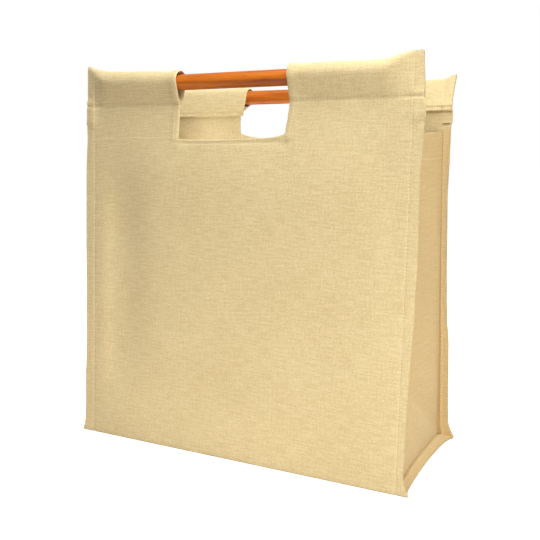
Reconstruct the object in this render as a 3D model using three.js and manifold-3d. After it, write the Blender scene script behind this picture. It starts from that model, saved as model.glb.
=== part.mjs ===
import * as THREE from 'three';
import { mergeVertices } from 'three/addons/utils/BufferGeometryUtils.js';
import Module from 'manifold-3d';

// A canvas tote bag with two wooden dowel handles, in millimetres, +Z up.
// The origin is the middle of the base on the floor. The front panel faces -Y.
// One length of canvas makes the front, the base and the back. Two gussets are let in at the sides,
// with their seam allowances turned outwards as fins.

// Bag
const bagWidth = 380; // over the side fins
const bagDepth = 172; // over the feet of the front and back panels
const clothWall = 1.5;
const layerGap = 0.3; // between two layers that are sewn together
const finWidth = 12; // seam allowance outside the seam
const tipReach = 4; // how far the fins flare past their width at the bottom corners
const tipSpread = 7; // length over which that flare dies away
const belly = 3; // how far the middle of a panel stands out

// Front and back panels
const hemHeight = 365; // from the floor to the front panel's stitch under its tunnel
const backDrop = 3.5; // how much lower the back panel's stitch hangs
const frontLean = 21; // how far the panel leans in over its height
const backLean = 26.5;
const frontTunnelTilt = 0; // degrees that the tunnel tips outwards from the panel's line
const backTunnelTilt = 42;

// Tunnels
const tunnelDepth = 42; // from the stitch to the top fold, where the tunnel lies flat
const tunnelSlack = 1; // the cloth's bend is this much wider than the dowel, all round
const hemTurn = 4; // cloth left below the stitch, inside the bag

// Grip openings
const gripWidth = 127;
const gripBelowHem = 33; // from the front panel's stitch down to the lower lip of both openings
const gripCorner = 5; // rounding of the lower corners
const frontGripTaper = 0; // how far each side comes in at the tunnel's top
const backGripTaper = 5;

// Dowels
const rodDiameter = 16;
const rodEndSpace = 20; // from each end of a dowel to the seam at the tunnel's end
const rodChamfer = 1;
const seatGap = 0.3; // between a dowel and the cloth that it rests on
const rodEndRoom = 2; // the tunnel keeps its round form this far past the dowel's end

// Gussets
const gussetBelowHem = 26.5; // from the front panel's stitch down to the gusset's top edge at the seams
const gussetDip = 7; // how far that edge hangs lower at the middle fold
const foldBlunt = 5; // half the width of the rounded middle fold
const gussetPuff = 2.5; // how far the soft cloth stands out from its straight fold
const seamLift = 5; // how far the bottom seam rises at the middle of the side
const seamPull = 4; // how far it is pulled in there

// Worked out from the sizes above
const halfWall = clothWall / 2;
const seamX = bagWidth / 2 - finWidth;
const layerStep = clothWall + layerGap;
const flatRadius = layerStep / 2; // bend of the top fold where two layers lie flat together
const backHemHeight = hemHeight - backDrop;
const gripBottom = hemHeight - gripBelowHem;
const gussetHeight = hemHeight - gussetBelowHem;
const rodRadius = rodDiameter / 2;
const rodLength = 2 * (seamX - rodEndSpace);
const roundRadius = rodRadius + tunnelSlack + halfWall; // bend of the cloth round a dowel
const footRadius = clothWall; // bend of the bottom folds
const rodRoomEnd = rodLength / 2 + rodEndRoom;

const panels = {
  front: {
    side: -1,
    hemHeight,
    lean: frontLean,
    tilt: THREE.MathUtils.degToRad(frontTunnelTilt),
    gripTaper: frontGripTaper,
  },
  back: {
    side: 1,
    hemHeight: backHemHeight,
    lean: backLean,
    tilt: THREE.MathUtils.degToRad(backTunnelTilt),
    gripTaper: backGripTaper,
  },
};

// Columns of the body cloth from the middle out to the fin's edge.
// reach is a share of the span named in part, and fullness says how round the tunnel is.
const bodyColumns = [
  { part: 'rod', reach: 0, fullness: 1 },
  { part: 'rod', reach: 0.2, fullness: 1 },
  { part: 'rod', reach: 0.4, fullness: 1 },
  { part: 'rod', reach: 0.6, fullness: 1 },
  { part: 'rod', reach: 0.8, fullness: 1 },
  { part: 'rod', reach: 1, fullness: 1 },
  { part: 'end', reach: 0.35, fullness: 0.72 },
  { part: 'end', reach: 0.7, fullness: 0.24 },
  { part: 'end', reach: 1, fullness: 0 },
  { part: 'fin', reach: 1, fullness: 0 },
];

// Rows of a panel from the foot to the stitch, as shares of the height, with the swell of its belly
const panelRows = [
  { height: 0.025, swell: 0 },
  { height: 0.07, swell: 0.1 },
  { height: 0.18, swell: 0.5 },
  { height: 0.32, swell: 0.9 },
  { height: 0.48, swell: 1 },
  { height: 0.64, swell: 0.8 },
  { height: 0.78, swell: 0.4 },
  { height: 0.9, swell: 0.1 },
  { height: 1, swell: 0 },
];

// Rows of the base from front to back, as shares of the depth
const baseRows = [0.05, 0.14, 0.3, 0.5, 0.7, 0.86, 0.95];

// Rows of a gusset from the base seam to the top edge. Those marked bottom are shares of the height of the
// flat triangle at the foot, and the rest are shares of what is left above it.
const gussetRows = [
  { part: 'bottom', height: 0 },
  { part: 'bottom', height: 0.12 },
  { part: 'bottom', height: 0.34 },
  { part: 'bottom', height: 0.65 },
  { part: 'bottom', height: 1 },
  { part: 'above', height: 0.15 },
  { part: 'above', height: 0.35 },
  { part: 'above', height: 0.6 },
  { part: 'above', height: 0.82 },
  { part: 'above', height: 1 },
];

// Columns of half a gusset from the seam to the middle. arm runs from the seam to the crease, and middle
// from the crease to the middle of the side, at the same places as the rows of the base.
// puff is a share of how far the cloth stands out.
const gussetColumns = [
  { part: 'arm', reach: 0, puff: 0 },
  { part: 'arm', reach: 0.3, puff: 1 },
  { part: 'arm', reach: 0.65, puff: 0.8 },
  { part: 'arm', reach: 1, puff: 0 },
  { part: 'middle', reach: 0.1, puff: 0 },
  { part: 'middle', reach: 0.28, puff: 0 },
  { part: 'middle', reach: 0.6, puff: 0 },
  { part: 'middle', reach: 1, puff: 0 },
];

const arcSteps = 10; // faces round the top of a tunnel
const slopeSteps = 2; // faces on each slope of a tunnel
const footSteps = 3; // faces round a bottom fold
const rodSides = 32;
const lipSteps = 4; // faces round a lower corner of a grip opening
const halvings = 40; // steps of the search for a tunnel's height
const weldGap = 1e-4; // vertices nearer than this are one
const weldDigits = 4;
const leastArea = 1e-6; // a face smaller than this has no direction of its own

// A panel's place: inward is the distance from the foot's outer plane towards the inside of the bag
function panelPoint(panel, height, swell) {
  const inward = halfWall + panel.lean * height - belly * swell;
  return new THREE.Vector2(inward, panel.hemHeight * height);
}

function ringLength(radius, rise) {
  const reach = Math.hypot(rise, flatRadius);
  const slope = Math.asin(radius / reach) - Math.atan(flatRadius / rise);
  return 2 * Math.sqrt(reach * reach - radius * radius) + radius * (Math.PI + 2 * slope);
}

// The cloth round a dowel is as long as where it lies flat, so a rounder tunnel is a lower one
function tunnelShape(fullness) {
  const radius = flatRadius + (roundRadius - flatRadius) * fullness;
  const length = ringLength(flatRadius, tunnelDepth - flatRadius);
  let low = radius;
  let high = tunnelDepth;
  for (let step = 0; step < halvings; step++) {
    const middle = (low + high) / 2;
    if (ringLength(radius, middle) < length) {
      low = middle;
    } else {
      high = middle;
    }
  }
  const rise = (low + high) / 2;
  const slope = Math.asin(radius / Math.hypot(rise, flatRadius)) - Math.atan(flatRadius / rise);
  return { radius, rise, slope };
}

function tunnelAngle(panel) {
  return Math.atan(panel.lean / panel.hemHeight) - panel.tilt;
}

// From the tunnel's own plane, with across towards the inside of the bag and up from the stitch
function tunnelPoint(panel, across, up) {
  const angle = tunnelAngle(panel);
  const stitch = panelPoint(panel, 1, 0);
  const aside = across + flatRadius;
  return new THREE.Vector2(
    stitch.x + aside * Math.cos(angle) + up * Math.sin(angle),
    stitch.y - aside * Math.sin(angle) + up * Math.cos(angle),
  );
}

// The tunnel's section from the outer stitch over the top to the inner stitch
function tunnelSection(panel, fullness) {
  const { radius, rise, slope } = tunnelShape(fullness);
  const points = [];
  const top = [];
  for (let step = 0; step <= arcSteps; step++) {
    const angle = Math.PI + slope - (Math.PI + 2 * slope) * (step / arcSteps);
    top.push(new THREE.Vector2(radius * Math.cos(angle), rise + radius * Math.sin(angle)));
  }
  const outerStitch = new THREE.Vector2(-flatRadius, 0);
  const innerStitch = new THREE.Vector2(flatRadius, 0);
  for (let step = 1; step < slopeSteps; step++) {
    points.push(outerStitch.clone().lerp(top[0], step / slopeSteps));
  }
  points.push(...top);
  for (let step = 1; step <= slopeSteps; step++) {
    points.push(top[arcSteps].clone().lerp(innerStitch, step / slopeSteps));
  }
  return points.map((point) => tunnelPoint(panel, point.x, point.y));
}

// Half of the body cloth's section, from the foot up the panel, over the dowel and down to the hem
function panelSection(panel, fullness, bulge) {
  const points = [];
  for (let step = 1; step <= footSteps; step++) {
    const angle = (Math.PI / 2) * (step / footSteps);
    const inward = halfWall + footRadius * (1 - Math.sin(angle));
    points.push(new THREE.Vector2(inward, halfWall + footRadius * (1 - Math.cos(angle))));
  }
  for (const row of panelRows) {
    points.push(panelPoint(panel, row.height, row.swell * bulge));
  }
  points.push(...tunnelSection(panel, fullness));
  const hemEnd = panelPoint(panel, 1 - hemTurn / panel.hemHeight, 0);
  hemEnd.x += layerStep;
  points.push(hemEnd);
  return points;
}

function sideShare(depthShare) {
  return Math.sin(Math.PI * depthShare);
}

function baseSeamX(depthShare) {
  return seamX - seamPull * sideShare(depthShare);
}

function baseLift(depthShare, sideways) {
  return seamLift * sideShare(depthShare) * sideways;
}

function finEdge(seam, cornerDistance) {
  return seam + finWidth + tipReach * Math.exp(-cornerDistance / tipSpread);
}

function columnX(column, seam, edge) {
  if (column.part === 'rod') {
    return rodRoomEnd * column.reach;
  }
  if (column.part === 'end') {
    return rodRoomEnd + (seam - rodRoomEnd) * column.reach;
  }
  return seam + (edge - seam) * column.reach;
}

// How far a column has come from the flat middle of the base, at 0, to its lifted side, at 1
function sidewaysShare(column) {
  if (column.part === 'rod') {
    return 0;
  }
  return column.part === 'end' ? column.reach : 1;
}

function bodyColumnPoints(column, side) {
  const middleShare = columnX(column, seamX, seamX) / seamX;
  const bulge = 1 - middleShare * middleShare;
  const place = (panel, point) => {
    const x = columnX(column, seamX, finEdge(seamX, point.y));
    return new THREE.Vector3(side * x, panel.side * (bagDepth / 2 - point.x), point.y);
  };
  const front = panelSection(panels.front, column.fullness, bulge);
  const back = panelSection(panels.back, column.fullness, bulge);
  const foot = halfWall + footRadius;
  const base = [0, ...baseRows, 1].map((depthShare) => {
    const y = -bagDepth / 2 + foot + (bagDepth - 2 * foot) * depthShare;
    const corner = bagDepth / 2 - foot - Math.abs(y);
    const seam = baseSeamX(depthShare);
    const x = columnX(column, seam, finEdge(seam, corner));
    return new THREE.Vector3(side * x, y, halfWall + baseLift(depthShare, sidewaysShare(column)));
  });
  return [
    ...front.map((point) => place(panels.front, point)).reverse(),
    ...base,
    ...back.map((point) => place(panels.back, point)),
  ];
}

function placeKey(point) {
  return point.toArray().map((value) => value.toFixed(weldDigits)).join(' ');
}

// How far each point of a cloth's middle surface moves to reach one face of the cloth.
// Points that share a place share this offset, and it is longer where the cloth turns a corner.
function wallOffsets(grid) {
  const facing = new Map();
  for (let row = 0; row < grid.length - 1; row++) {
    for (let column = 0; column < grid[0].length - 1; column++) {
      const corners = [
        grid[row][column],
        grid[row][column + 1],
        grid[row + 1][column + 1],
        grid[row + 1][column],
      ];
      const first = corners[2].clone().sub(corners[0]);
      const second = corners[3].clone().sub(corners[1]);
      const normal = first.cross(second);
      if (normal.length() < leastArea) {
        continue;
      }
      normal.normalize();
      for (const key of new Set(corners.map(placeKey))) {
        facing.set(key, [...(facing.get(key) ?? []), normal]);
      }
    }
  }
  return grid.map((line) => line.map((point) => {
    const normals = facing.get(placeKey(point));
    const mean = normals.reduce((sum, normal) => sum.add(normal), new THREE.Vector3()).normalize();
    const spread = normals.reduce((sum, normal) => sum + normal.dot(mean), 0) / normals.length;
    return mean.multiplyScalar(halfWall / spread);
  }));
}

// A closed cloth: a thin box of the grid's rows and columns, bent so that it follows the grid
function clothGeometry(grid) {
  const rows = grid.length - 1;
  const columns = grid[0].length - 1;
  const offsets = wallOffsets(grid);
  const geometry = new THREE.BoxGeometry(1, 1, 1, columns, rows, 1);
  const position = geometry.attributes.position;
  for (let index = 0; index < position.count; index++) {
    const column = Math.round((position.getX(index) + 0.5) * columns);
    const row = Math.round((position.getY(index) + 0.5) * rows);
    const face = Math.sign(position.getZ(index));
    const point = grid[row][column].clone().addScaledVector(offsets[row][column], face);
    position.setXYZ(index, point.x, point.y, point.z);
  }
  return weld(geometry);
}

// Shared vertices are merged, and triangles that shrank to a line are dropped
function weld(geometry) {
  geometry.deleteAttribute('normal');
  geometry.deleteAttribute('uv');
  const welded = mergeVertices(geometry, weldGap);
  const corners = welded.index.array;
  const kept = [];
  for (let first = 0; first < corners.length; first += 3) {
    const [a, b, c] = corners.subarray(first, first + 3);
    if (a !== b && b !== c && c !== a) {
      kept.push(a, b, c);
    }
  }
  welded.setIndex(kept);
  return welded;
}

const wasm = await Module();
wasm.setup();

function toSolid(geometry) {
  const welded = weld(geometry.clone());
  return new wasm.Manifold(new wasm.Mesh({
    numProp: 3,
    vertProperties: new Float32Array(welded.attributes.position.array),
    triVerts: new Uint32Array(welded.index.array),
  }));
}

function toGeometry(solid) {
  const mesh = solid.getMesh();
  const geometry = new THREE.BufferGeometry();
  geometry.setAttribute('position', new THREE.BufferAttribute(mesh.vertProperties, 3));
  geometry.setIndex(new THREE.BufferAttribute(mesh.triVerts, 1));
  return geometry;
}

// The space that a grip opening takes away, from its lower lip up past the tunnel
function gripCutter(panel) {
  const half = gripWidth / 2;
  const top = panel.hemHeight + tunnelDepth + clothWall;
  const outline = new THREE.Shape();
  outline.moveTo(panel.gripTaper - half, top);
  outline.lineTo(-half, gripBottom + gripCorner);
  outline.quadraticCurveTo(-half, gripBottom, gripCorner - half, gripBottom);
  outline.lineTo(half - gripCorner, gripBottom);
  outline.quadraticCurveTo(half, gripBottom, half, gripBottom + gripCorner);
  outline.lineTo(half - panel.gripTaper, top);
  const reach = bagDepth / 2;
  const geometry = new THREE.ExtrudeGeometry(outline, {
    depth: reach,
    bevelEnabled: false,
    curveSegments: lipSteps,
  });
  geometry.rotateX(Math.PI / 2);
  geometry.translate(0, panel.side < 0 ? 0 : reach, 0);
  geometry.translate(0, panel.side * tunnelDepth / 2, 0);
  return toSolid(geometry);
}

function bodyCloth() {
  const rightHalf = bodyColumns.map((column) => bodyColumnPoints(column, 1));
  const leftHalf = bodyColumns.slice(1).map((column) => bodyColumnPoints(column, -1)).reverse();
  let solid = toSolid(clothGeometry([...leftHalf, ...rightHalf]));
  for (const panel of Object.values(panels)) {
    solid = solid.subtract(gripCutter(panel));
  }
  return toGeometry(solid);
}

// Where a gusset's seam runs: its distance from the middle plane of the bag, on one side
function gussetSeamY(panel, z) {
  const height = z / panel.hemHeight;
  return panel.side * (bagDepth / 2 - halfWall - panel.lean * height - layerStep);
}

const gussetFoot = halfWall + layerStep;
const stripHalf = (gussetSeamY(panels.back, gussetFoot) - gussetSeamY(panels.front, gussetFoot)) / 2;
const meanLean = Math.atan((frontLean / hemHeight + backLean / backHemHeight) / 2);
const triangleTilt = Math.acos(Math.min(1, (1 - Math.sin(meanLean)) / Math.cos(meanLean)));
const triangleHeight = stripHalf * Math.cos(triangleTilt);

// A gusset folds like the side of a paper bag: a flat triangle at the foot, and above it a fold whose
// depth takes up the cloth that the leaning panels leave spare
function gussetPoint(row, column, panel) {
  const spare = gussetHeight - gussetFoot - triangleHeight;
  const share = row.part === 'bottom' ? row.height : 1;
  const level = row.part === 'bottom' ? triangleHeight * row.height : triangleHeight + spare * row.height;
  const z = gussetFoot + level;
  const frontY = gussetSeamY(panels.front, z);
  const backY = gussetSeamY(panels.back, z);
  const middleY = (frontY + backY) / 2;
  const halfSpan = (backY - frontY) / 2;
  const foldDepth = Math.sqrt(Math.max(0, stripHalf * stripHalf - halfSpan * halfSpan)) * share;
  const creaseHalf = Math.max(foldBlunt, stripHalf * (1 - share));
  const onArm = column.part === 'arm';
  const inShare = onArm ? column.reach : 1;
  const fromMiddle = onArm
    ? halfSpan + (creaseHalf - halfSpan) * column.reach
    : creaseHalf * (1 - column.reach);
  const depthShare = 0.5 + (panel.side * fromMiddle) / (2 * stripHalf);
  const lift = baseLift(depthShare, 1) * (1 - level / (triangleHeight + spare));
  const pull = seamPull * sideShare(depthShare) * Math.max(0, 1 - level / triangleHeight);
  const puff = gussetPuff * column.puff * Math.min(1, level / triangleHeight);
  const dip = gussetDip * inShare * (level / (triangleHeight + spare));
  return new THREE.Vector3(
    seamX - pull - foldDepth * inShare + puff,
    middleY + panel.side * fromMiddle,
    z + lift - dip,
  );
}

function gussetRowPoints(row) {
  const half = (panel) => gussetColumns.map((column) => gussetPoint(row, column, panel));
  const middle = half(panels.front);
  const line = [...middle, ...half(panels.back).slice(0, -1).reverse()];
  const flange = (point) => {
    const edge = finEdge(seamX, point.z - gussetFoot);
    return new THREE.Vector3(edge, point.y, point.z);
  };
  return [flange(line[0]), ...line, flange(line[line.length - 1])];
}

function gussetGeometry(side) {
  const plate = gussetRows.map(gussetRowPoints);
  const bottom = plate[0].map((point) => {
    const corner = stripHalf - Math.abs(point.y);
    const depthShare = 0.5 + point.y / (2 * stripHalf);
    const edge = finEdge(baseSeamX(depthShare), Math.max(0, corner));
    return new THREE.Vector3(edge, point.y, point.z);
  });
  const grid = [bottom, ...plate];
  return clothGeometry(grid.map((line) => line.map((point) => point.setX(side * point.x))));
}

// A dowel lies in its tunnel's slopes, lower than the bend of the cloth above it
function rodPlace(panel) {
  const { radius, rise, slope } = tunnelShape(1);
  const play = radius - halfWall - rodRadius - seatGap;
  const place = tunnelPoint(panel, 0, rise - play / Math.sin(slope));
  return new THREE.Vector3(0, panel.side * (bagDepth / 2 - place.x), place.y);
}

function rodGeometry() {
  const half = rodLength / 2;
  const profile = [
    new THREE.Vector2(0, -half),
    new THREE.Vector2(rodRadius - rodChamfer, -half),
    new THREE.Vector2(rodRadius, rodChamfer - half),
    new THREE.Vector2(rodRadius, half - rodChamfer),
    new THREE.Vector2(rodRadius - rodChamfer, half),
    new THREE.Vector2(0, half),
  ];
  const geometry = new THREE.LatheGeometry(profile, rodSides);
  geometry.rotateZ(-Math.PI / 2);
  return weld(geometry);
}

const canvas = new THREE.MeshStandardMaterial({ color: 0xe6d3a0, roughness: 0.95, metalness: 0 });
const gussetCanvas = new THREE.MeshStandardMaterial({ color: 0xd2b67c, roughness: 0.95, metalness: 0 });
const varnishedWood = new THREE.MeshStandardMaterial({ color: 0xc8642a, roughness: 0.35, metalness: 0 });

const group = new THREE.Group();

function addPiece(name, geometry, material, place) {
  const mesh = new THREE.Mesh(geometry, material.clone());
  mesh.name = name;
  mesh.position.copy(place);
  group.add(mesh);
}

const origin = new THREE.Vector3();
addPiece('body_cloth', bodyCloth(), canvas, origin);
addPiece('gusset_left', gussetGeometry(-1), gussetCanvas, origin);
addPiece('gusset_right', gussetGeometry(1), gussetCanvas, origin);
addPiece('handle_rod_front', rodGeometry(), varnishedWood, rodPlace(panels.front));
addPiece('handle_rod_back', rodGeometry(), varnishedWood, rodPlace(panels.back));

export default group;
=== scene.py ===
import bpy
import bmesh
import math
from mathutils import Matrix, Vector, noise


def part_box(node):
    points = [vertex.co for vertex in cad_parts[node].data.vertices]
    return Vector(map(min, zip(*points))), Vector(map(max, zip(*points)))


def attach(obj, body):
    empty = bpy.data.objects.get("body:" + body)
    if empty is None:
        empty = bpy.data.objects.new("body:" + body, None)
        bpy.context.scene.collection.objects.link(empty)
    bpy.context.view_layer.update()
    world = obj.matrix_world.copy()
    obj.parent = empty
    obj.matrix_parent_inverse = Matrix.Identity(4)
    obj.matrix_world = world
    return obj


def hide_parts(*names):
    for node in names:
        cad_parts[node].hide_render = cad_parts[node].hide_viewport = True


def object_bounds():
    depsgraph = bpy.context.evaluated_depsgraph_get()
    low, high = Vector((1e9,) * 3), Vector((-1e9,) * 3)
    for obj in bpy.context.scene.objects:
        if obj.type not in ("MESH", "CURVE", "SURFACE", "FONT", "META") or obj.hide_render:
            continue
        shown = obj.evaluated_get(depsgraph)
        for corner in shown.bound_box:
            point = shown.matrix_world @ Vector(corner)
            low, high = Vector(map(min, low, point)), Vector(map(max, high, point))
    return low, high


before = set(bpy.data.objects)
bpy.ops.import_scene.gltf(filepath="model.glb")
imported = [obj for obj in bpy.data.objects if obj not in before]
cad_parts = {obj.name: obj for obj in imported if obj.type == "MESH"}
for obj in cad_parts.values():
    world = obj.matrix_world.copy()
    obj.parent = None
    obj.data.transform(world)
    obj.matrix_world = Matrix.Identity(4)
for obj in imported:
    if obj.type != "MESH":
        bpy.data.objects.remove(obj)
cadLow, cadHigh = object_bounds()
scene = bpy.context.scene
mm = 0.001

# Sizes are in millimetres. The origin is the middle of the base on the floor, and the front faces -Y.
bag = {
    "depth": 172,
    "half": 190,  # half the width of the cloth
    "seam": 178,  # half the width between the side seams
    "fin": 12,
    "skin": 0.75,  # from the outside of the bag to the middle of its cloth
    "foot": 1.5,  # bend of the cloth from the base into a panel
    "tunnel": 42,
    "roundBend": 9.75,  # bend of the cloth over a dowel
    "flatBend": 0.9,
    "cloth": 1.15,
    "baseLift": 5,
    "basePull": 0.5,
    "tipReach": 4,  # how far the fins widen into the tips at the bottom corners
    "tipSpread": 7,
    "sideHem": 342,  # foot of the doubled side hem above a gusset
}
front = {
    "name": "front",
    "side": -1,
    "hem": 365,  # height of the stitch under the tunnel
    "hemTurn": 4,  # cloth left below it inside
    "lean": 21,
    "tilt": 0,  # degrees that the tunnel tips outwards
    "endTilt": 0,  # and at its stitched ends
    "belly": [(0, 0), (55, -3), (290, 5), (366, 0)],  # how far it swells, against height
    "dent": 4.3,  # depth of the valley beside the left seam
    "ends": ((158, 196), (152, 182)),  # the tunnel is round up to here, and flat from here, left and right
    # how far the tunnel's ends sink, and where that starts and is full
    "droop": ((-3.2, 80, 165), (0.5, 157, 182)),
    "cornerLift": (0.3, 0),  # and their corners rise
    "cornerRise": (0.6, 4),  # how far the lip curls up into its corners
    "cornerSpread": 5,
    "pinch": 3.5,  # how far the right mouth leans in above the lip
    "lip": 332,
    "lipSlope": 2.5,  # how much higher the lip is at its right end
    "taper": 0,  # how far both mouths lean in up the tunnel
}
back = {
    "name": "back",
    "side": 1,
    "hem": 361.5,
    "hemTurn": 1.2,
    "lean": 26.5,
    "tilt": 42,
    "endTilt": 28,
    "belly": [(0, 0), (60, -1.5), (250, 4), (362, 0)],
    "dent": 0,
    "ends": ((152, 182), (156, 183)),
    "droop": ((1, 157, 182), (8, 157, 182)),
    "cornerLift": (0, 5),
    "cornerRise": (6, 3),
    "cornerSpread": 12,
    "pinch": 0,
    "lip": 334,
    "lipSlope": 1,
    "taper": 6,
}

# Height against the half width there, as the soft edges hang
edges = {
    "front right": [(0, 190), (17, 188.3), (46, 188.8), (84, 189.4), (120, 190.6), (162, 192), (223, 193),
                    (264, 192), (298, 191.4), (334, 193.2), (345, 193.6), (372, 192.2), (410, 190)],
    "front left": [(0, 190), (23, 190), (58, 190.2), (100, 189), (242, 189.4), (304, 189.4), (331, 188.3),
                   (346, 188.6), (352, 188), (410, 187.6)],
    "back right": [(0, 190), (20, 187), (47, 186.6), (68, 186.8), (110, 186.3), (137, 184.4), (159, 183.4),
                   (214, 182.6), (268, 182.4), (318, 184), (336, 184.6), (354, 185.4), (376, 184.6),
                   (400, 185)],
    "back left": [(0, 190), (30, 188.4), (90, 187.4), (180, 186), (260, 186.4), (330, 187.4), (400, 188.6)],
}
seams = {"front right": 181, "front left": 177, "back right": 175, "back left": 177}


def ease(value, low, high):
    share = min(1, max(0, (value - low) / (high - low)))
    return share * share * (3 - 2 * share)


def bump(distance, width):
    return math.exp(-(distance / width) ** 2)


def fromTable(table, value):
    # a soft curve through the rows of a table
    for (low, first), (high, second) in zip(table, table[1:]):
        if value <= high:
            return first + (second - first) * ease(value, low, high)
    return table[-1][1]


def ringLength(bend, rise):
    flat = bag["flatBend"]
    slope = math.asin(bend / math.hypot(rise, flat)) - math.atan(flat / rise)
    return 2 * math.sqrt(rise * rise + flat * flat - bend * bend) + bend * (math.pi + 2 * slope)


tunnelLength = ringLength(bag["flatBend"], bag["tunnel"] - bag["flatBend"])
tunnelShapes = {}


def tunnelShape(fullness):
    # the cloth round the dowel is as long as where it lies flat
    key = round(fullness, 3)
    if key not in tunnelShapes:
        bend = bag["flatBend"] + (bag["roundBend"] - bag["flatBend"]) * key
        low, high = bend, bag["tunnel"]
        for step in range(40):
            middle = (low + high) / 2
            if ringLength(bend, middle) < tunnelLength:
                low = middle
            else:
                high = middle
        flat = bag["flatBend"]
        slope = math.asin(bend / math.hypot(low, flat)) - math.atan(flat / low)
        tunnelShapes[key] = (bend, low, slope)
    return tunnelShapes[key]


# The strip of cloth runs from the middle of the base out to a panel's foot, up the panel,
# over its dowel and down to the hem. These are the distances along it.
baseHalf = bag["depth"] / 2 - bag["skin"] - bag["foot"]
panelStart = baseHalf + bag["foot"] * math.pi / 2
footTop = bag["skin"] + bag["foot"]


def panelStretch(panel):
    return math.hypot(1, panel["lean"] / (panel["hem"] - footTop))


def alongAt(panel, height):
    return panelStart + (height - footTop) * panelStretch(panel)


for panel in (front, back):
    panel["stitch"] = alongAt(panel, panel["hem"])
    panel["lipAlong"] = alongAt(panel, panel["lip"])
    panel["tunnelEnd"] = panel["stitch"] + tunnelLength


def leanAt(panel, height):
    return bag["skin"] + panel["lean"] * (height - footTop) / (panel["hem"] - footTop)


def tunnelDroop(panel, across):
    # the stitched ends don't stand up fully
    end = 0 if across < 0 else 1
    drop, start, full = panel["droop"][end]
    return drop * ease(abs(across), start, full) - panel["cornerLift"][end] * ease(abs(across), 172, 190)


def section(panel, across, along):
    # inward from the outside of the foot, and height
    if along <= baseHalf:
        return bag["depth"] / 2 - along, bag["skin"]
    if along <= panelStart:
        turn = (along - baseHalf) / bag["foot"]
        return footTop - bag["foot"] * math.sin(turn), footTop - bag["foot"] * math.cos(turn)
    if along <= panel["stitch"]:
        height = footTop + (along - panelStart) / panelStretch(panel)
        swell = fromTable(panel["belly"], height) * (1 - ease(abs(across), 70, 170))
        dent = panel["dent"] * bump(across + 140, 28) * (1 - ease(abs(across), 152, 173))
        dent *= ease(height, 20, 100) * (1 - ease(height, 230, 330))
        return leanAt(panel, height) - swell + dent, height
    if along <= panel["tunnelEnd"]:
        return tunnelPoint(panel, across, along - panel["stitch"])
    return hemPoint(panel, along - panel["tunnelEnd"])


def tunnelPoint(panel, across, run):
    ending = ease(abs(across), *panel["ends"][0 if across < 0 else 1])
    bend, rise, slope = tunnelShape(1 - ending)
    flat = bag["flatBend"]
    straight = math.sqrt(rise * rise + flat * flat - bend * bend)
    if run < straight:
        share = run / straight
        aside, up = -flat + (flat - bend * math.cos(slope)) * share, (rise - bend * math.sin(slope)) * share
    elif run > tunnelLength - straight:
        share = (tunnelLength - run) / straight
        aside, up = flat - (flat - bend * math.cos(slope)) * share, (rise - bend * math.sin(slope)) * share
    else:
        turn = math.pi + slope - (run - straight) / bend
        aside, up = bend * math.cos(turn), rise + bend * math.sin(turn)
    tilt = panel["tilt"] + (panel["endTilt"] - panel["tilt"]) * ending
    angle = math.atan(panel["lean"] / panel["hem"]) - math.radians(tilt)
    aside += flat
    inward = leanAt(panel, panel["hem"]) + aside * math.cos(angle) + up * math.sin(angle)
    sunk = tunnelDroop(panel, across) * up / bag["tunnel"]
    return inward, panel["hem"] - aside * math.sin(angle) + up * math.cos(angle) - sunk


hem = {"layer": 2.1, "bend": 0.5, "turned": 5, "side": 11, "sideBend": 0.55}
hemFold = math.pi * hem["bend"]


def hemPoint(panel, run):
    # down to a rolled edge and up again between the layers
    turnedAt = panel["hemTurn"]
    if run < turnedAt:
        aside, drop = hem["layer"] - 0.3 * (1 - run / turnedAt), run
    elif run < turnedAt + hemFold:
        turn = (run - turnedAt) / hem["bend"]
        aside = hem["layer"] - hem["bend"] * (1 - math.cos(turn))
        drop = turnedAt + hem["bend"] * math.sin(turn)
    else:
        aside, drop = hem["layer"] - 2 * hem["bend"], 2 * turnedAt + hemFold - run
    height = panel["hem"] - drop
    return leanAt(panel, height) + aside, height


# Rows of thread, which also pull grooves into the cloth
stitch = {
    "pitch": 3.1,
    "length": 2.3,
    "width": 0.62,
    "height": 0.34,
    "sides": 6,
    "rings": 4,
    "sunk": 0.08,
    "sideRow": 179,
    "hemRow": 181.5,  # down the doubled side hem
    "hemGap": 1.5,
    "lipGap": 4.5,
}

# Grip openings: the cloth is cut away between the mouths and above the lip
grip = {"left": -66.5, "right": 61.5, "hem": 8, "edgeBend": 0.6, "lipSag": 1.6}


def gripWarp(panel, across, along):
    # the lip sags between its corners, and the mouths of the back tunnel lean together
    middle = (grip["left"] + grip["right"]) / 2
    half = (grip["right"] - grip["left"]) / 2
    reach = min(1, abs(across - middle) / half)
    rightward = max(-1, min(1, (across - middle) / half))
    corner = panel["cornerRise"][0 if across < middle else 1]
    rise = corner * math.exp(-(1 - reach) * half / panel["cornerSpread"]) - grip["lipSag"] * (1 - reach ** 2)
    rise += panel["lipSlope"] * 0.5 * (rightward - 1)
    inside = 1 - ease(abs(across - middle), half, half + 14)
    newAlong = along + rise * inside * math.exp(-abs(along - panel["lipAlong"]) / 22)
    lean = panel["taper"] * ease(along, panel["lipAlong"], panel["stitch"] + tunnelLength / 2)
    toward = math.copysign(1, middle - across)
    newAcross = across + toward * lean * bump(abs(across - middle) - half, 30)
    if across > middle:
        low = ease(along, panel["lipAlong"] - 50, panel["lipAlong"])
        low *= 1 - ease(along, panel["lipAlong"], panel["stitch"])
        newAcross -= panel["pinch"] * low * bump(abs(across - middle) - half, 26)
    return newAcross, newAlong


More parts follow.
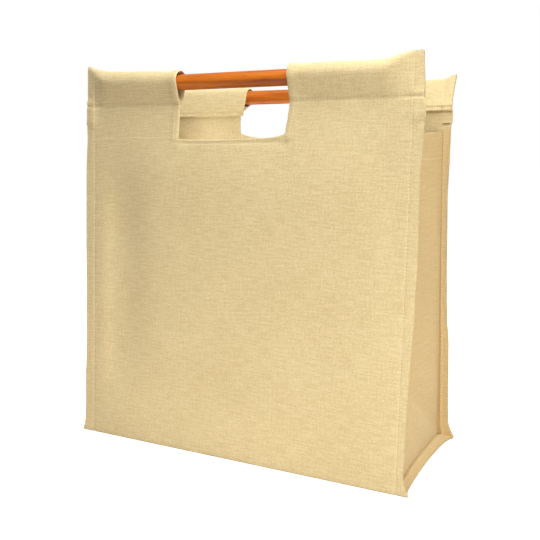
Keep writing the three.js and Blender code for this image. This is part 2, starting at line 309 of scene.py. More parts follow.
def relief(panel, across, along, height):
    # how far the soft cloth stands out from its even shape
    side = panel["side"]
    seed = 3.7 * side
    seamGap = abs(abs(across) - bag["seam"])
    # the thread pulls the cloth into grooves along the seams
    out = -0.45 * bump(abs(across) - stitch["sideRow"], 1.3)
    out -= 0.6 * bump(along - panel["stitch"] - stitch["hemGap"], 1.5)
    if panelStart < along < panel["stitch"] + 6:
        calm = ease(height, 4, 60) * ease(panel["stitch"] - along, -6, 30) * ease(seamGap, 0, 30)
        out += 1.3 * noise.noise(Vector((across / 95 + seed, height / 130, seed))) * calm
        out += 0.45 * noise.noise(Vector((across / 34, height / 46 + seed, 2.1))) * calm
        pucker = noise.noise(Vector((seed, height / 7.5, 5.0)))
        out += 0.5 * pucker * math.exp(-seamGap / 9) * ease(height, 3, 25)
        below = panel["stitch"] - along
        out += 0.45 * noise.noise(Vector((across / 7, seed, 9.0))) * math.exp(-max(0, below) / 9)
        # the doubled side hem above the gusset ends in a slanted step
        step = bag["sideHem"] + 0.3 * (abs(across) - bag["seam"])
        out += 1.2 * ease(height, step, step + 3) * ease(abs(across), bag["seam"] - 3, bag["seam"] + 3)
        # pucker along the lip
        lipGap = panel["lipAlong"] - along
        if grip["left"] - 6 < across < grip["right"] + 6 and lipGap > -1:
            out += 0.8 * noise.noise(Vector((across / 9, seed, 1.0))) * math.exp(-lipGap / 6)
            out += 0.5 * bump(lipGap, 1.6) - 1.0 * bump(lipGap - 5.2, 1.8)
    if panel["stitch"] < along < panel["tunnelEnd"]:
        run = (along - panel["stitch"]) / tunnelLength
        soft = math.sin(math.pi * run)
        out += 0.7 * soft * noise.noise(Vector((across / 30, run * 3 + seed, 4.0)))
    # hems round the opening lift the outer layer
    if along > panel["lipAlong"] - 9:
        for mouth, way in ((grip["left"], -1), (grip["right"], 1)):
            gap = way * (across - mouth)
            if gap > -2:
                out += 0.65 * ease(9 - gap, 0, 3.5)
    return out


def cornerName(panel, across):
    return panel["name"] + (" right" if across > 0 else " left")


def sideways(panel, across, along, height):
    # the real distance from the middle, from the place on the flat cloth
    corner = cornerName(panel, across)
    reach = abs(across)
    if along <= baseHalf:
        arch = math.sin(math.pi * (0.5 + along / (2 * baseHalf)))
        outer = ease(along, 40, baseHalf)
        seam = bag["seam"] + (seams[corner] - bag["seam"]) * outer - bag["basePull"] * arch
        distance = baseHalf - along
        edge = seam + bag["fin"] + (bag["half"] - seams[corner] - bag["fin"]) * outer
    else:
        seam = seams[corner]
        distance = max(0, height - footTop)
        edge = fromTable(edges[corner], height)
    edge += bag["tipReach"] * math.exp(-distance / bag["tipSpread"])
    if reach <= bag["seam"]:
        # only the side of the cloth moves with its seam
        return math.copysign(reach + (seam - bag["seam"]) * ease(reach, 90, bag["seam"]), across)
    return math.copysign(seam + (edge - seam) * (reach - bag["seam"]) / bag["fin"], across)


def baseRise(panel, across, along):
    if along > baseHalf:
        return 0
    arch = math.sin(math.pi * (0.5 + along / (2 * baseHalf)))
    return bag["baseLift"] * arch * ease(abs(across), 150, bag["seam"])


def placeCloth(across, along, depth=0.0):
    # along is below 0 on the front half of the strip, and depth goes out of the cloth's outer face
    panel = front if along < 0 else back
    across, along = gripWarp(panel, across, abs(along))
    here = section(panel, across, along)
    ahead = section(panel, across, along + 0.3)
    behind = section(panel, across, max(0, along - 0.3))
    slope = Vector((ahead[0] - behind[0], ahead[1] - behind[1])).normalized()
    outward = Vector((-slope.y, slope.x))
    height = here[1]
    lifted = depth + relief(panel, across, along, height)
    x = sideways(panel, across, along, height)
    inward = here[0] + outward.x * lifted
    height = here[1] + outward.y * lifted + baseRise(panel, across, along)
    return Vector((x, panel["side"] * (bag["depth"] / 2 - inward), height)) * mm


def spread(stops):
    # evenly spaced places between stops, each stop as (place, count up to it)
    places = [stops[0][0]]
    for (start, _), (end, count) in zip(stops, stops[1:]):
        places += [start + (end - start) * step / count for step in range(1, count + 1)]
    return places


def clothGrid(columns, rows):
    bm = bmesh.new()
    bmesh.ops.create_grid(bm, x_segments=len(columns) - 1, y_segments=len(rows) - 1, size=0.5)
    layers = [bm.verts.layers.float.new(name) for name in ("across", "along", "depth")]
    for vert in bm.verts:
        vert[layers[0]] = columns[round((vert.co.x + 0.5) * (len(columns) - 1))]
        vert[layers[1]] = rows[round((vert.co.y + 0.5) * (len(rows) - 1))]
    return bm, layers


def turnHem(bm, layers, rim, away, width, bend):
    # rolls a cut edge to the inside of the cloth and lays it flat there
    across, along, depth = layers
    for shift, drop in ((-bend, bend), (bend, 2 * bend), (width, 2 * bend + 0.05)):
        made = bmesh.ops.extrude_edge_only(bm, edges=rim)["geom"]
        ring = {v for v in made if isinstance(v, bmesh.types.BMVert)}
        rim = [e for e in made if isinstance(e, bmesh.types.BMEdge) and all(v in ring for v in e.verts)]
        for vert in ring:
            way = away(vert[across], vert[along])
            vert[across] += way[0] * shift
            vert[along] += way[1] * shift
            vert[depth] = -drop


def closeTo(value, target, gap=1.5):
    return abs(value - target) < gap


def finishCloth(bm, layers, name, place, thickness, material):
    # places the flat cloth, gives it a UV map in metres, and thickens it
    across, along, depth = layers
    uvMap = bm.loops.layers.uv.new("flat")
    for face in bm.faces:
        face.smooth = True
        for loop in face.loops:
            loop[uvMap].uv = (loop.vert[across] * mm, loop.vert[along] * mm)
    for vert in bm.verts:
        vert.co = place(vert[across], vert[along], vert[depth])
    mesh = bpy.data.meshes.new(name)
    bm.to_mesh(mesh)
    bm.free()
    piece = bpy.data.objects.new(name, mesh)
    scene.collection.objects.link(piece)
    skin = piece.modifiers.new("thickness", "SOLIDIFY")
    skin.thickness = thickness * mm
    skin.offset = 0
    bpy.context.view_layer.update()
    thick = bpy.data.meshes.new_from_object(piece.evaluated_get(bpy.context.evaluated_depsgraph_get()))
    piece.modifiers.clear()
    piece.data = thick
    thick.set_sharp_from_angle(angle=math.radians(50))
    thick.materials.clear()
    thick.materials.append(material)
    return piece


def buildBody(material):
    print("body cloth")
    # the grid is finer at the seams, the mouths, the lip and the tunnel
    columns = spread([
        (-bag["half"], 0), (-183, 4), (-175, 9), (-160, 7), (grip["left"] - 9, 28), (grip["left"], 5),
        (grip["right"], 42), (grip["right"] + 9, 5), (160, 29), (175, 7), (183, 9), (bag["half"], 4),
    ])
    half = {}
    for panel in (front, back):
        lip, sewn, turnAt = panel["lipAlong"], panel["stitch"], panel["tunnelEnd"] + panel["hemTurn"]
        half[panel["name"]] = spread([
            (0, 0), (baseHalf, 13), (panelStart, 4), (panelStart + 12, 4), (lip - 9, 68), (lip, 4),
            (sewn - 3, 11), (sewn + 6, 10), (panel["tunnelEnd"], 31), (turnAt, 2), (turnAt + hemFold, 4),
            (turnAt + hemFold + hem["turned"], 2),
        ])
    rows = [-place for place in reversed(half["front"])] + half["back"][1:]
    bm, layers = clothGrid(columns, rows)
    across, along, depth = layers

    def lipOf(place):
        return front["lipAlong"] if place < 0 else back["lipAlong"]

    cut = []
    for face in bm.faces:
        middleAcross = sum(v[across] for v in face.verts) / len(face.verts)
        middleAlong = sum(v[along] for v in face.verts) / len(face.verts)
        if grip["left"] < middleAcross < grip["right"] and abs(middleAlong) > lipOf(middleAlong):
            cut.append(face)
    bmesh.ops.delete(bm, geom=cut, context="FACES")
    bmesh.ops.reverse_faces(bm, faces=bm.faces)

    def onOpening(v):
        beyond = abs(v[along]) > lipOf(v[along]) - 0.1
        inWidth = grip["left"] - 0.1 < v[across] < grip["right"] + 0.1
        onEdge = closeTo(v[across], grip["left"], 0.1) or closeTo(v[across], grip["right"], 0.1)
        return beyond and inWidth and (onEdge or closeTo(abs(v[along]), lipOf(v[along]), 0.1))

    def awayFromOpening(x, place):
        sideWay = -1 if closeTo(x, grip["left"]) else 1 if closeTo(x, grip["right"]) else 0
        lipWay = -math.copysign(1, place) if closeTo(abs(place), lipOf(place)) else 0
        return sideWay, lipWay

    rim = [e for e in bm.edges if e.is_boundary and onOpening(e.verts[0]) and onOpening(e.verts[1])]
    turnHem(bm, layers, rim, awayFromOpening, grip["hem"], grip["edgeBend"])

    def onSideHem(v):
        panel = front if v[along] < 0 else back
        foot = alongAt(panel, bag["sideHem"] + 4)
        return abs(v[across]) > bag["half"] - 0.1 and foot < abs(v[along]) < panel["stitch"] + 0.1

    rim = [e for e in bm.edges if e.is_boundary and onSideHem(e.verts[0]) and onSideHem(e.verts[1])]
    turnHem(bm, layers, rim, lambda x, place: (-math.copysign(1, x), 0), hem["side"], hem["sideBend"])

    piece = finishCloth(bm, layers, "bodyCloth", placeCloth, bag["cloth"], material)
    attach(piece, "root")
    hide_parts("body_cloth")
    return piece


# Gussets fold like the side of a paper bag: a flat triangle at the foot and a deepening fold above it
gusset = {
    "height": 338.5,
    "dip": 7,
    "blunt": 5,
    "puff": 3,
    "layer": 1.5,  # middle of the body's cloth to the middle of the gusset's
    "topHem": 29,
    "hemBend": 0.55,
    "cloth": 1.1,
    "ridge": 1.0,  # the stitched roll on its seam allowance
    "ridgeAt": 4,
}


def gussetSeamY(panel, height):
    return panel["side"] * (bag["depth"] / 2 - leanAt(panel, height) - gusset["layer"])


gussetFoot = bag["skin"] + gusset["layer"]
stripHalf = (gussetSeamY(back, gussetFoot) - gussetSeamY(front, gussetFoot)) / 2
meanLean = math.atan((front["lean"] / front["hem"] + back["lean"] / back["hem"]) / 2)
triangleTilt = math.acos(min(1, (1 - math.sin(meanLean)) / math.cos(meanLean)))
triangleHeight = stripHalf * math.cos(triangleTilt)


def gussetMiddle(side, across, up):
    # across is signed from the middle fold, and up starts at the base seam
    panel = front if across < 0 else back
    reach = abs(across)
    level = max(0, min(up, gusset["height"] - gussetFoot))
    full = gusset["height"] - gussetFoot
    height = gussetFoot + level
    share = min(1, level / triangleHeight)
    frontY, backY = gussetSeamY(front, height), gussetSeamY(back, height)
    middleY, halfSpan = (frontY + backY) / 2, (backY - frontY) / 2
    foldDepth = math.sqrt(max(0, stripHalf ** 2 - halfSpan ** 2)) * share
    creaseHalf = max(gusset["blunt"], stripHalf * (1 - share))
    seam = seams[cornerName(panel, side)]
    out = 0.0
    if reach >= creaseHalf:
        armShare = min(1, (stripHalf - reach) / (stripHalf - creaseHalf)) if reach < stripHalf else 0
        fromMiddle = halfSpan + (creaseHalf - halfSpan) * armShare
        swell = math.sin(math.pi * armShare ** 0.8)
        out = gusset["puff"] * swell * share
        out += 2.2 * swell * noise.noise(Vector((across / 60, height / 85, 6.0 + side))) * min(1, level / 50)
    else:
        armShare, fromMiddle = 1, reach
    depthShare = 0.5 + panel["side"] * fromMiddle / (2 * stripHalf)
    arch = math.sin(math.pi * depthShare)
    seam = seam + (bag["seam"] - seam) * arch
    lift = bag["baseLift"] * arch * (1 - level / full)
    pull = bag["basePull"] * arch * max(0, 1 - level / triangleHeight)
    dip = gusset["dip"] * armShare * level / full
    x = seam - pull - foldDepth * armShare + out
    y = middleY + panel["side"] * fromMiddle
    return x, y, height + lift - dip, seam - pull


def placeGusset(side, across, up, depth=0.0):
    panel = front if across < 0 else back
    reach = min(abs(across), stripHalf)
    held = math.copysign(reach, across)
    x, y, z, seam = gussetMiddle(side, held, up)
    finShare = max((abs(across) - stripHalf) / bag["fin"], -up / bag["fin"], 0)
    if finShare > 0:
        # the seam allowance stands straight out beside the body's
        corner = cornerName(panel, side)
        if up <= 0:
            distance = stripHalf - reach
            outer = ease(reach, 40, stripHalf)
            edge = seam + bag["fin"] + (bag["half"] - seams[corner] - bag["fin"]) * outer
        else:
            distance = up
            seam = seams[corner]
            edge = fromTable(edges[corner], z)
        edge += bag["tipReach"] * math.exp(-distance / bag["tipSpread"]) - 0.4
        x = seam + (edge - seam) * min(1, finShare)
        ridge = gusset["ridge"] * bump(finShare * bag["fin"] - gusset["ridgeAt"], 1.3)
        if up > 0:
            y -= panel["side"] * (depth + ridge)
        else:
            z += depth + ridge
    else:
        x += depth
    return Vector((side * x, y, z)) * mm


def buildGusset(side, name, material):
    print("gusset", name)
    fin = bag["fin"]
    top = gusset["height"] - gussetFoot
    rows = spread([(-fin, 0), (-6, 3), (0, 7), (3, 3), (triangleHeight, 22), (top, 62)])
    columns = spread([
        (-stripHalf - fin, 0), (-stripHalf - 6, 3), (-stripHalf, 7), (-stripHalf + 3, 3), (-7, 26), (7, 8),
        (stripHalf - 3, 26), (stripHalf, 3), (stripHalf + 6, 7), (stripHalf + fin, 3),
    ])
    bm, layers = clothGrid(columns, rows)
    across, along, depth = layers
    rim = [e for e in bm.edges if e.is_boundary and all(closeTo(v[along], top, 0.1) for v in e.verts)]
    turnHem(bm, layers, rim, lambda x, up: (0, -1), gusset["topHem"], gusset["hemBend"])
    if side > 0:
        place = lambda x, up, out: placeGusset(1, x, up, out)
    else:
        bmesh.ops.reverse_faces(bm, faces=bm.faces)
        place = lambda x, up, out: placeGusset(-1, x, up, out)
    piece = finishCloth(bm, layers, name, place, gusset["cloth"], material)
    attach(piece, "root")
    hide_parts("gusset_right" if side > 0 else "gusset_left")
    return piece


# Dowels
rod = {"half": 158, "radius": 8, "edge": 1.2, "sides": 72}


def buildRod(node, name, material):
    print("dowel", name)
    low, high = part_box(node)
    middle = (low + high) / 2
    bm = bmesh.new()
    end, radius, edge = rod["half"] * mm, rod["radius"] * mm, rod["edge"] * mm
    profile = [(-end, 0), (-end, radius - edge)]
    profile += [(-end + edge * (1 - math.cos(a)), radius - edge * (1 - math.sin(a))) for a in (0.5, 1.05)]
    profile += [(-end + edge + (2 * end - 2 * edge) * step / 24, radius) for step in range(25)]
    profile += [(-x, r) for x, r in reversed(profile[:4])]
    verts = [bm.verts.new((x, 0, r)) for x, r in profile]
    chain = [bm.edges.new(pair) for pair in zip(verts, verts[1:])]
    bmesh.ops.spin(bm, geom=verts + chain, cent=(0, 0, 0), axis=(1, 0, 0), angle=2 * math.pi,
                   steps=rod["sides"], use_merge=True, use_duplicate=False)
    bmesh.ops.remove_doubles(bm, verts=bm.verts, dist=1e-6)
    bmesh.ops.recalc_face_normals(bm, faces=bm.faces)
    bmesh.ops.translate(bm, verts=bm.verts, vec=middle)
    for face in bm.faces:
        face.smooth = True
    mesh = bpy.data.meshes.new(name)
    bm.to_mesh(mesh)
    bm.free()
    mesh.set_sharp_from_angle(angle=math.radians(60))
    piece = bpy.data.objects.new(name, mesh)
    scene.collection.objects.link(piece)
    piece.data.materials.append(material)
    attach(piece, "root")
    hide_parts(node)
    return piece


def sewLine(whole, place, start, end, facing=1):
    # stitches from start to end on the flat cloth, on its outer face, or inside for a facing below 0
    bm = bmesh.new()

    def at(share):
        return start[0] + (end[0] - start[0]) * share, start[1] + (end[1] - start[1]) * share

    samples = [place(*at(step / 60), 0.0) for step in range(61)]
    reached = [0.0]
    for first, second in zip(samples, samples[1:]):
        reached.append(reached[-1] + (second - first).length)
    count = max(1, round(reached[-1] / (stitch["pitch"] * mm)))
    size = [stitch[part] / 2 * mm for part in ("length", "width", "height")]
    index = 0
    for number in range(count):
        target = reached[-1] * (number + 0.5) / count
        while reached[index + 1] < target:
            index += 1
        share = (index + (target - reached[index]) / max(1e-9, reached[index + 1] - reached[index])) / 60
        middle = place(*at(share), 0.0)
        outer = place(*at(share), facing * (bag["cloth"] / 2 + stitch["sunk"]))
        ahead = place(*at(min(1, share + 0.004)), 0.0) - place(*at(max(0, share - 0.004)), 0.0)
        forward = ahead.normalized()
        up = (outer - middle).normalized()
        sidewise = up.cross(forward).normalized()
        up = forward.cross(sidewise).normalized()
        turn = Matrix((forward, sidewise, up)).transposed().to_4x4()
        lay = Matrix.Translation(outer) @ turn @ Matrix.Diagonal((*size, 1))
        bmesh.ops.create_uvsphere(bm, u_segments=stitch["sides"], v_segments=stitch["rings"], radius=1,
                                  matrix=lay @ Matrix.Rotation(math.pi / 2, 4, "Y"))
    row = bpy.data.meshes.new("row")
    bm.to_mesh(row)
    bm.free()
    whole.from_mesh(row)
    bpy.data.meshes.remove(row)


def buildStitches(material):
    print("stitches")
    bm = bmesh.new()
    left, right, gap = grip["left"], grip["right"], stitch["lipGap"]
    rowEnd = bag["seam"] - 1
    for panel in (front, back):
        way, sewn = panel["side"], panel["stitch"]
        sideFoot, sideTop = way * (panelStart + 2), way * (sewn + tunnelLength * 0.47)
        hemFoot = way * (alongAt(panel, gusset["height"]) + 3)
        for side in (-1, 1):
            row = side * stitch["sideRow"]
            sewLine(bm, placeCloth, (row, sideFoot), (row, sideTop))
            row = side * stitch["hemRow"]
            sewLine(bm, placeCloth, (row, hemFoot), (row, way * sewn), -2.9)
        for row in (way * (sewn + stitch["hemGap"]), way * (panel["tunnelEnd"] + 1)):
            sewLine(bm, placeCloth, (-rowEnd, row), (left - 1, row))
            sewLine(bm, placeCloth, (right + 1, row), (rowEnd, row))
        lipRow = way * (panel["lipAlong"] - gap)
        for row in (left - gap, right + gap):
            sewLine(bm, placeCloth, (row, lipRow), (row, way * (sewn - 1)))
        sewLine(bm, placeCloth, (left - gap, lipRow), (right + gap, lipRow))
    low = -(front["lipAlong"] + 0.5)
    sewLine(bm, placeCloth, (1 - rowEnd, low), (left - 6, low))
    top = gusset["height"] - gussetFoot
    seamRow, hemRow = stripHalf + gusset["ridgeAt"], top - gusset["topHem"] + 2
    for side in (-1, 1):
        place = lambda x, up, out, side=side: placeGusset(side, x, up, out)
        for way in (-1, 1):
            sewLine(bm, place, (way * seamRow, 1), (way * seamRow, top - 1))
            sewLine(bm, place, (way * (stripHalf - 0.5), hemRow), (way * 6, hemRow))
        sewLine(bm, place, (-stripHalf, -gusset["ridgeAt"]), (stripHalf, -gusset["ridgeAt"]))
    for face in bm.faces:
        face.smooth = True
    mesh = bpy.data.meshes.new("stitches")
    bm.to_mesh(mesh)
    bm.free()
    piece = bpy.data.objects.new("stitches", mesh)
    scene.collection.objects.link(piece)
    mesh.materials.append(material)
    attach(piece, "root")
    return piece


def newNode(tree, kind, spot, **values):
    node = tree.nodes.new(kind)
    node.location = spot
    for name, value in values.items():
        if name in node.inputs:
            node.inputs[name].default_value = value
        else:
            setattr(node, name, value)
    return node


def mathNode(tree, kind, first, second=None, spot=(0, 0)):
    node = tree.nodes.new("ShaderNodeMath")
    node.operation = kind
    node.location = spot
    for socket, value in zip(node.inputs, (first, second)):
        if value is None:
            continue
        if isinstance(value, (int, float)):
            socket.default_value = value
        else:
            tree.links.new(value, socket)
    return node.outputs[0]


def weaveGroup():
    # a plain weave seen on the flat cloth, with thick threads, blotches and seed specks
    tree = bpy.data.node_groups.new("canvasWeave", "ShaderNodeTree")
    tree.interface.new_socket("Flat", in_out="INPUT", socket_type="NodeSocketVector")
    for name, value in (("Threads", 1250.0), ("Slub", 1.0), ("Blotch", 1.0)):
        socket = tree.interface.new_socket(name, in_out="INPUT", socket_type="NodeSocketFloat")
        socket.default_value = value
    tree.interface.new_socket("Tone", in_out="OUTPUT", socket_type="NodeSocketFloat")
    tree.interface.new_socket("Height", in_out="OUTPUT", socket_type="NodeSocketFloat")
    tree.interface.new_socket("Speck", in_out="OUTPUT", socket_type="NodeSocketFloat")
    source = newNode(tree, "NodeGroupInput", (-1200, 0))
    result = newNode(tree, "NodeGroupOutput", (1000, 0))
    link = tree.links.new

    def streaks(scaleX, scaleY, detail, spot):
        stretch = newNode(tree, "ShaderNodeMapping", spot)
        stretch.inputs["Scale"].default_value = (scaleX, scaleY, 1)
        link(source.outputs["Flat"], stretch.inputs["Vector"])
        texture = newNode(tree, "ShaderNodeTexNoise", (spot[0] + 200, spot[1]), noise_dimensions="2D",
                          Scale=1.0, Detail=detail, Roughness=0.6)
        link(stretch.outputs["Vector"], texture.inputs["Vector"])
        return mathNode(tree, "SUBTRACT", texture.outputs[0], 0.5, (spot[0] + 400, spot[1]))

    weft = streaks(60, 640, 4.0, (-900, 500))
    warp = streaks(700, 70, 3.0, (-900, 250))
    fuzz = streaks(580, 580, 2.0, (-900, 0))
    blotch = streaks(11, 14, 4.0, (-900, -250))
    speck = streaks(260, 260, 1.0, (-900, -500))

    # over and under of single threads
    parts = newNode(tree, "ShaderNodeSeparateXYZ", (-900, -750))
    link(source.outputs["Flat"], parts.inputs["Vector"])
    waves = []
    for axis in (0, 1):
        count = mathNode(tree, "MULTIPLY", parts.outputs[axis], source.outputs["Threads"])
        waves.append(mathNode(tree, "SINE", mathNode(tree, "MULTIPLY", count, 2 * math.pi)))
    over = mathNode(tree, "MULTIPLY", waves[0], waves[1])

    weftPart = mathNode(tree, "MULTIPLY", weft, source.outputs["Slub"])
    warpPart = mathNode(tree, "MULTIPLY", mathNode(tree, "MULTIPLY", warp, source.outputs["Slub"]), 0.55)
    threads = mathNode(tree, "ADD", mathNode(tree, "ADD", weftPart, warpPart), fuzz)
    patches = mathNode(tree, "MULTIPLY", blotch, source.outputs["Blotch"])
    tone = mathNode(tree, "ADD", threads, mathNode(tree, "MULTIPLY", patches, 0.28))
    tone = mathNode(tree, "ADD", tone, 0.5)
    height = mathNode(tree, "ADD", threads, mathNode(tree, "MULTIPLY", over, 0.22))
    link(tone, result.inputs["Tone"])
    link(height, result.inputs["Height"])
    spots = mathNode(tree, "MULTIPLY", mathNode(tree, "SUBTRACT", speck, 0.27), 9.0)
    link(mathNode(tree, "MINIMUM", mathNode(tree, "MAXIMUM", spots, 0.0), 1.0), result.inputs["Speck"])
    return tree


def canvasMaterial(name, group, dark, light, specks=0.35, slub=1.0, sheen=0.12, bumpStrength=0.5):
    material = bpy.data.materials.new(name)
    material.use_nodes = True
    tree = material.node_tree
    shader = tree.nodes["Principled BSDF"]
    flat = newNode(tree, "ShaderNodeUVMap", (-1100, 0), uv_map="flat")
    weave = newNode(tree, "ShaderNodeGroup", (-850, 0), node_tree=group)
    weave.inputs["Slub"].default_value = slub
    tree.links.new(flat.outputs["UV"], weave.inputs["Flat"])
    ramp = newNode(tree, "ShaderNodeValToRGB", (-600, 150))
    ramp.color_ramp.elements[0].position = 0.26
    ramp.color_ramp.elements[0].color = (*dark, 1)
    ramp.color_ramp.elements[1].position = 0.74
    ramp.color_ramp.elements[1].color = (*light, 1)
    tree.links.new(weave.outputs["Tone"], ramp.inputs["Fac"])
    mix = newNode(tree, "ShaderNodeMix", (-300, 150), data_type="RGBA", blend_type="MULTIPLY")
    mix.inputs[7].default_value = (0.62, 0.5, 0.36, 1)
    tree.links.new(mathNode(tree, "MULTIPLY", weave.outputs["Speck"], specks), mix.inputs[0])
    tree.links.new(ramp.outputs["Color"], mix.inputs[6])
    tree.links.new(mix.outputs[2], shader.inputs["Base Color"])
    relief = newNode(tree, "ShaderNodeBump", (-300, -250), Strength=bumpStrength, Distance=0.0004)
    tree.links.new(weave.outputs["Height"], relief.inputs["Height"])
    tree.links.new(relief.outputs["Normal"], shader.inputs["Normal"])
    shader.inputs["Roughness"].default_value = 0.92
    shader.inputs["Sheen Weight"].default_value = sheen
    shader.inputs["Sheen Roughness"].default_value = 0.6
    shader.inputs["Specular IOR Level"].default_value = 0.25
    return material


def threadMaterial():
    material = bpy.data.materials.new("sewingThread")
    material.use_nodes = True
    tree = material.node_tree
    shader = tree.nodes["Principled BSDF"]
    place = newNode(tree, "ShaderNodeTexCoord", (-900, 0))
    twist = newNode(tree, "ShaderNodeTexNoise", (-650, 0), Scale=900.0, Detail=2.0)
    tree.links.new(place.outputs["Object"], twist.inputs["Vector"])
    ramp = newNode(tree, "ShaderNodeValToRGB", (-400, 0))
    ramp.color_ramp.elements[0].color = (0.68, 0.55, 0.31, 1)
    ramp.color_ramp.elements[1].color = (0.82, 0.71, 0.46, 1)
    tree.links.new(twist.outputs[0], ramp.inputs["Fac"])
    tree.links.new(ramp.outputs["Color"], shader.inputs["Base Color"])
    relief = newNode(tree, "ShaderNodeBump", (-400, -300), Strength=0.4, Distance=0.0002)
    tree.links.new(twist.outputs[0], relief.inputs["Height"])
    tree.links.new(relief.outputs["Normal"], shader.inputs["Normal"])
    shader.inputs["Roughness"].default_value = 0.75
    return material


def woodMaterial():
    material = bpy.data.materials.new("varnishedWood")
    material.use_nodes = True
    tree = material.node_tree
    shader = tree.nodes["Principled BSDF"]
    place = newNode(tree, "ShaderNodeTexCoord", (-1300, 0))

    def grain(scale, detail, spot):
        stretch = newNode(tree, "ShaderNodeMapping", spot)
        stretch.inputs["Scale"].default_value = scale
        tree.links.new(place.outputs["Object"], stretch.inputs["Vector"])
        texture = newNode(tree, "ShaderNodeTexNoise", (spot[0] + 200, spot[1]), Scale=1.0, Detail=detail,
                          Roughness=0.6)
        tree.links.new(stretch.outputs["Vector"], texture.inputs["Vector"])
        return texture.outputs[0]

    long = grain((9, 260, 260), 4.0, (-1050, 250))
    dashes = grain((70, 900, 900), 2.0, (-1050, -50))
    wide = grain((5, 60, 60), 2.0, (-1050, -350))
    longPart, widePart = mathNode(tree, "MULTIPLY", long, 0.55), mathNode(tree, "MULTIPLY", wide, 0.45)
    tone = mathNode(tree, "ADD", longPart, widePart)
    ramp = newNode(tree, "ShaderNodeValToRGB", (-500, 200))
    ramp.color_ramp.elements[0].position = 0.36
    ramp.color_ramp.elements[0].color = (0.27, 0.048, 0.003, 1)
    ramp.color_ramp.elements[1].position = 0.64
    ramp.color_ramp.elements[1].color = (0.61, 0.168, 0.011, 1)
    tree.links.new(tone, ramp.inputs["Fac"])
    dark = newNode(tree, "ShaderNodeMix", (-200, 200), data_type="RGBA", blend_type="MULTIPLY")
    dark.inputs[7].default_value = (0.45, 0.28, 0.2, 1)
    lines = mathNode(tree, "MULTIPLY", mathNode(tree, "SUBTRACT", dashes, 0.58), 5.0)
    lines = mathNode(tree, "MINIMUM", mathNode(tree, "MAXIMUM", lines, 0.0), 0.7)
    tree.links.new(lines, dark.inputs[0])
    tree.links.new(ramp.outputs["Color"], dark.inputs[6])
    tree.links.new(dark.outputs[2], shader.inputs["Base Color"])
    relief = newNode(tree, "ShaderNodeBump", (-200, -200), Strength=0.25, Distance=0.0002)
    tree.links.new(dashes, relief.inputs["Height"])
    tree.links.new(relief.outputs["Normal"], shader.inputs["Normal"])
    shader.inputs["Roughness"].default_value = 0.42
    shader.inputs["Specular IOR Level"].default_value = 0.3
    shader.inputs["Coat Weight"].default_value = 0.25
    shader.inputs["Coat Roughness"].default_value = 0.14
    return material


print("finishes")
weave = weaveGroup()
panelCanvas = canvasMaterial("panelCanvas", weave, (0.56, 0.438, 0.222), (0.665, 0.55, 0.302))
# painted shade: the gussets are the same canvas as the panels, but their colour is painted darker and more
# orange to stand for the shade they sit in
gussetPaintedShadeCanvas = canvasMaterial("gussetPaintedShadeCanvas", weave, (0.55, 0.405, 0.19), (0.64, 0.48, 0.235), slub=0.8)
thread = threadMaterial()
wood = woodMaterial()

buildRod("handle_rod_front", "handleRodFront", wood)
buildRod("handle_rod_back", "handleRodBack", wood)
buildBody(panelCanvas)
buildGusset(1, "gussetRight", gussetPaintedShadeCanvas)
buildGusset(-1, "gussetLeft", gussetPaintedShadeCanvas)
buildStitches(thread)

# Floor, light and camera
print("studio")
studio = {"floor": 30.0, "sky": 0.12, "floorGlow": 0.92, "floorBounce": (0.55, 0.49, 0.455)}


def buildFloor():
    bm = bmesh.new()
    bmesh.ops.create_grid(bm, x_segments=2, y_segments=2, size=studio["floor"] / 2)
    bmesh.ops.translate(bm, verts=bm.verts, vec=(0, 0, cadLow.z - 0.0003))
    mesh = bpy.data.meshes.new("studioFloor")
    bm.to_mesh(mesh)
    bm.free()
    floor = bpy.data.objects.new("studioFloor", mesh)
    scene.collection.objects.link(floor)
    material = bpy.data.materials.new("paleFloor")
    material.use_nodes = True
    tree = material.node_tree
    shader = tree.nodes["Principled BSDF"]
    seen = newNode(tree, "ShaderNodeLightPath", (-700, 0))
    # the floor is white to the eye, and throws a weaker and warmer light up at the bag
    shade = newNode(tree, "ShaderNodeMix", (-450, 0), data_type="RGBA")
    shade.inputs[6].default_value = (*studio["floorBounce"], 1)
    shade.inputs[7].default_value = (0.9, 0.9, 0.9, 1)
    tree.links.new(seen.outputs["Is Camera Ray"], shade.inputs[0])
    tree.links.new(shade.outputs[2], shader.inputs["Base Color"])
    shader.inputs["Roughness"].default_value = 0.8
    shader.inputs["Specular IOR Level"].default_value = 0
    shader.inputs["Emission Color"].default_value = (1, 1, 1, 1)
    tree.links.new(mathNode(tree, "MULTIPLY", seen.outputs["Is Camera Ray"], studio["floorGlow"]),
                   shader.inputs["Emission Strength"])
    mesh.materials.append(material)


def addLight(name, spot, aim, size, power, spread):
    data = bpy.data.lights.new(name, "AREA")
    data.shape = "DISK"
    data.size = size
    data.energy = power
    data.spread = math.radians(spread)
    light = bpy.data.objects.new(name, data)
    scene.collection.objects.link(light)
    light.visible_camera = False
    light.location = spot
    light.rotation_euler = (Vector(aim) - Vector(spot)).to_track_quat("-Z", "Y").to_euler()


buildFloor()
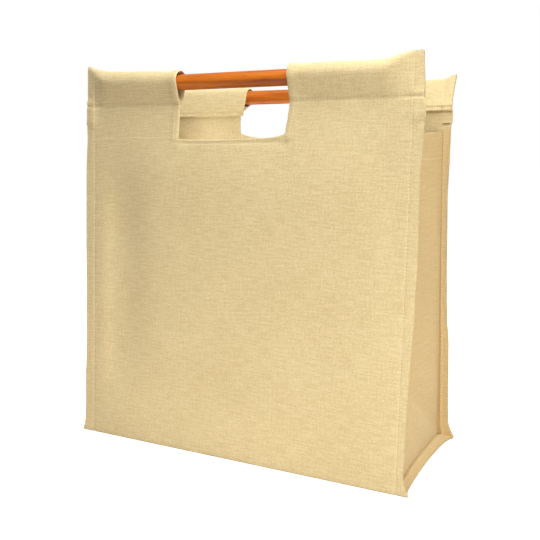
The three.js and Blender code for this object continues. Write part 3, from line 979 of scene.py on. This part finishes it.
# name, place, aim, width, power and how many degrees it spreads
for light in (
    ("topLight", (0, -0.2, 1.3), (0, 0.05, 0.3), 0.5, 8.6, 180),
    ("keyLight", (0.34, -0.38, 0.9), (0, 0.06, 0.3), 0.3, 4.5, 180),
    ("backLight", (0.9, 0.5, 0.9), (0.1, 0.08, 0.3), 0.4, 3.3, 180),
    ("sideFill", (0.8, -0.3, 0.12), (0.18, 0, 0.05), 0.3, 1.7, 180),
    ("frontFill", (0.1, -0.75, 0.06), (0, -0.08, 0.02), 0.3, 0.8, 180),
    ("leftLowFill", (-0.05, -0.36, 0.05), (-0.05, -0.08, 0.03), 0.3, 0.35, 180),
    ("rightLowFill", (0.3, -0.42, 0.03), (0.12, -0.08, 0.03), 0.3, 0.6, 180),
    ("leftLight", (-1.0, 0.15, 0.6), (-0.1, 0, 0.2), 0.5, 7, 180),
    ("rearLight", (-0.3, 1.2, 0.8), (0, 0.08, 0.2), 0.6, 11, 180),
    ("footFill", (0.5, -0.25, 0.35), (0.19, 0.04, 0.03), 0.2, 0.055, 50),
    ("insideFill", (-0.12, -0.02, 0.15), (-0.115, 0.062, 0.345), 0.06, 0.028, 36),
    ("dowelFill", (0, -0.03, 0.1), (0, 0.06, 0.33), 0.1, 0.075, 50),
):
    addLight(*light)

world = bpy.data.worlds.new("paleRoom")
scene.world = world
world.use_nodes = True
sky = world.node_tree
skyShader = sky.nodes["Background"]
seen = newNode(sky, "ShaderNodeLightPath", (-400, 0))
level = newNode(sky, "ShaderNodeMapRange", (-200, 0))
level.inputs["To Min"].default_value = studio["sky"]
level.inputs["To Max"].default_value = 1.0
sky.links.new(seen.outputs["Is Camera Ray"], level.inputs["Value"])
sky.links.new(level.outputs[0], skyShader.inputs["Strength"])
tint = newNode(sky, "ShaderNodeMix", (-200, 200), data_type="RGBA")
tint.inputs[6].default_value = (1, 0.92, 0.82, 1)
tint.inputs[7].default_value = (1, 1, 1, 1)
sky.links.new(seen.outputs["Is Camera Ray"], tint.inputs[0])
sky.links.new(tint.outputs[2], skyShader.inputs["Color"])
scene.view_settings.view_transform = "Standard"

cameraPlace = {"spot": (0.391, -0.738, 0.319), "yaw": 27.58, "pitch": 8.85, "lens": 51.07}
cameraData = bpy.data.cameras.new("camera")
cameraData.lens = cameraPlace["lens"]
cameraData.sensor_width = 36
camera = bpy.data.objects.new("camera", cameraData)
scene.collection.objects.link(camera)
camera.location = cameraPlace["spot"]
camera.rotation_euler = (math.radians(90 - cameraPlace["pitch"]), 0, math.radians(cameraPlace["yaw"]))
scene.camera = camera

bpy.context.view_layer.update()
